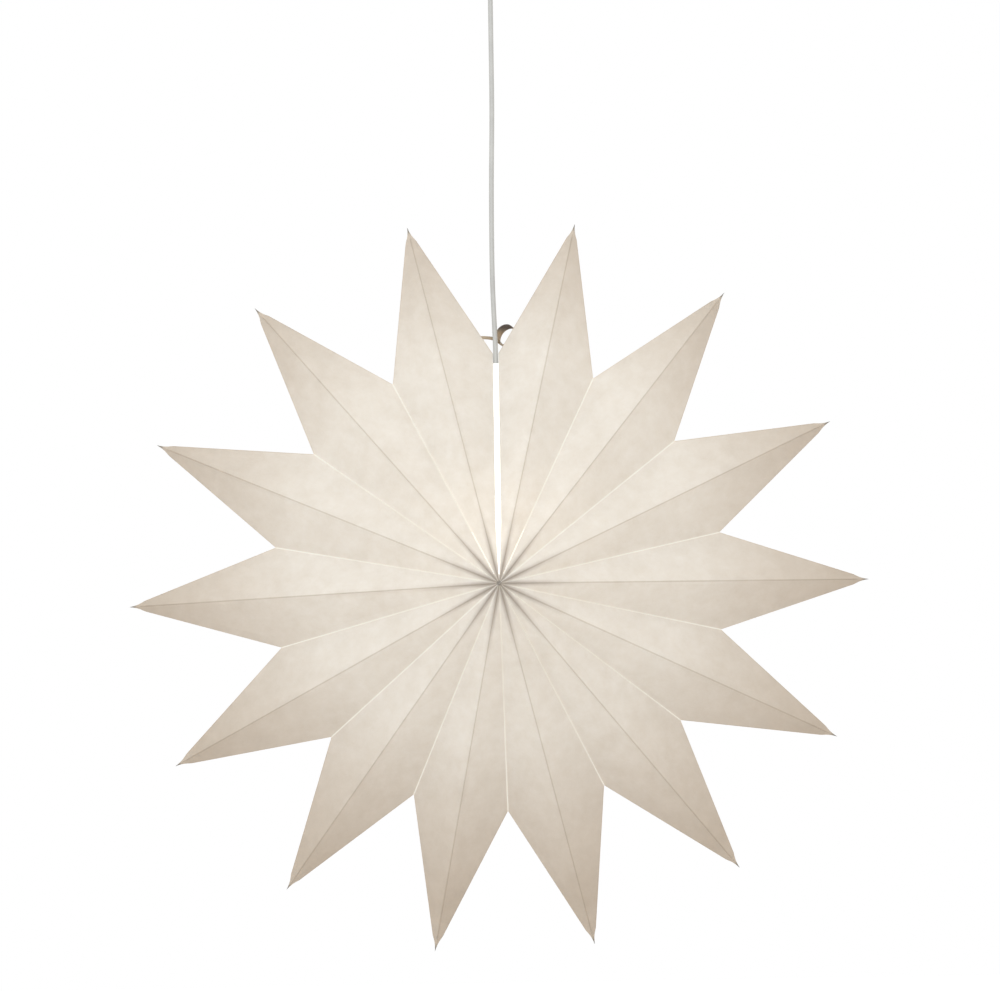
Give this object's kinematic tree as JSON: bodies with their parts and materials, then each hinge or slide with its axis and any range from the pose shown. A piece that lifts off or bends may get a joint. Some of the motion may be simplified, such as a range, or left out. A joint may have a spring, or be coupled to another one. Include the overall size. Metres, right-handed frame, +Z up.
{
  "type": "paper star pendant lamp",
  "caption": "Fold-out paper star with hollow points round a bulb, hung by its seam from a lampholder on a cord, with a ceiling cup, plate and hook.",
  "frame": {"origin": "middle of the ceiling plate's top face, where it meets the ceiling", "axes": "+Z up into the ceiling, -Y towards the viewer of the star's front, +X to the star's right as seen from the front"},
  "size_m": [0.7495, 0.1692, 1.0584],
  "materials": {
    "paper": "matt, translucent, lit from inside",
    "card": "matt white card",
    "cord_jacket": "satin light grey",
    "tie_strip": "matt grey-brown",
    "white_plastic": "moulded, satin white",
    "holder_ceramic": "unglazed white",
    "brass": "pressed, bright",
    "steel": "zinc plated",
    "painted_plate": "powder coated white",
    "bulb_opal_glass": "opal white, frosted",
    "stem_glass": "clear",
    "bulb_aluminium": "rolled thread, bright",
    "bulb_black_glass": "glossy black",
    "filament": "phosphor yellow"
  },
  "bodies": {
    "ceiling_fitting": {"ceiling_plate": "painted_plate", "ceiling_hook": "steel"},
    "hanger": {"cord_hanger": "white_plastic", "grip_screws": "steel", "connector_block": "white_plastic", "connector_screws": "steel"},
    "cord_and_lampholder": {"cord": "cord_jacket", "lampholder_cap": "white_plastic", "lampholder_barrel": "white_plastic", "lampholder_core": "holder_ceramic", "terminal_screws": "brass", "screw_shell": "brass", "centre_contact": "brass", "cord_clamp": "white_plastic", "clamp_screws": "steel"},
    "ceiling_cup": {"ceiling_cup": "white_plastic", "cup_grub_screw": "steel"},
    "star": {"paper_point_01": "paper", "paper_point_02": "paper", "paper_point_03": "paper", "paper_point_04": "paper", "paper_point_05": "paper", "paper_point_06": "paper", "paper_point_07": "paper", "paper_point_08": "paper", "paper_point_09": "paper", "paper_point_10": "paper", "paper_point_11": "paper", "paper_point_12": "paper", "paper_point_13": "paper", "paper_point_14": "paper", "left_end_card": "card", "right_end_card": "card", "front_seam_strip": "paper", "back_seam_strip": "paper", "closure_tie": "tie_strip"},
    "bulb_contact": {"bulb_tip_contact": "brass"},
    "bulb": {"bulb_glass": "bulb_opal_glass", "bulb_screw_cap": "bulb_aluminium", "bulb_insulator": "bulb_black_glass", "bulb_stem": "stem_glass", "bulb_filaments": "filament"}
  },
  "joints": [
    {"name": "swing_side", "type": "hinge", "parent": "ceiling_fitting", "child": "hanger", "pos_m": [0, 0, -0.018], "axis": [0, 1, 0], "range_deg": [-3, 3]},
    {"name": "swing_front", "type": "hinge", "parent": "hanger", "child": "cord_and_lampholder", "pos_m": [0, 0, -0.045], "axis": [1, 0, 0], "range_deg": [-3, 3]},
    {"name": "cup_slide", "type": "slide", "parent": "cord_and_lampholder", "child": "ceiling_cup", "axis": [0, 0, -1], "range_m": [0, 0.12]},
    {"name": "star_turn", "type": "hinge", "parent": "cord_and_lampholder", "child": "star", "pos_m": [0, 0, -0.69], "axis": [0, 0, 1], "continuous": true},
    {"name": "bulb_travel", "type": "slide", "parent": "cord_and_lampholder", "child": "bulb_contact", "axis": [0, 0, -1], "range_m": [0, 0.018]},
    {"name": "bulb_turn", "type": "hinge", "parent": "bulb_contact", "child": "bulb", "pos_m": [0, 0, -0.6], "axis": [0, 0, -1], "range_deg": [0, 1790]}
  ],
  "couplings": [
    {"joint": "bulb_travel", "follows": "bulb_turn", "m_per_rad": 0.00057614}
  ]
}
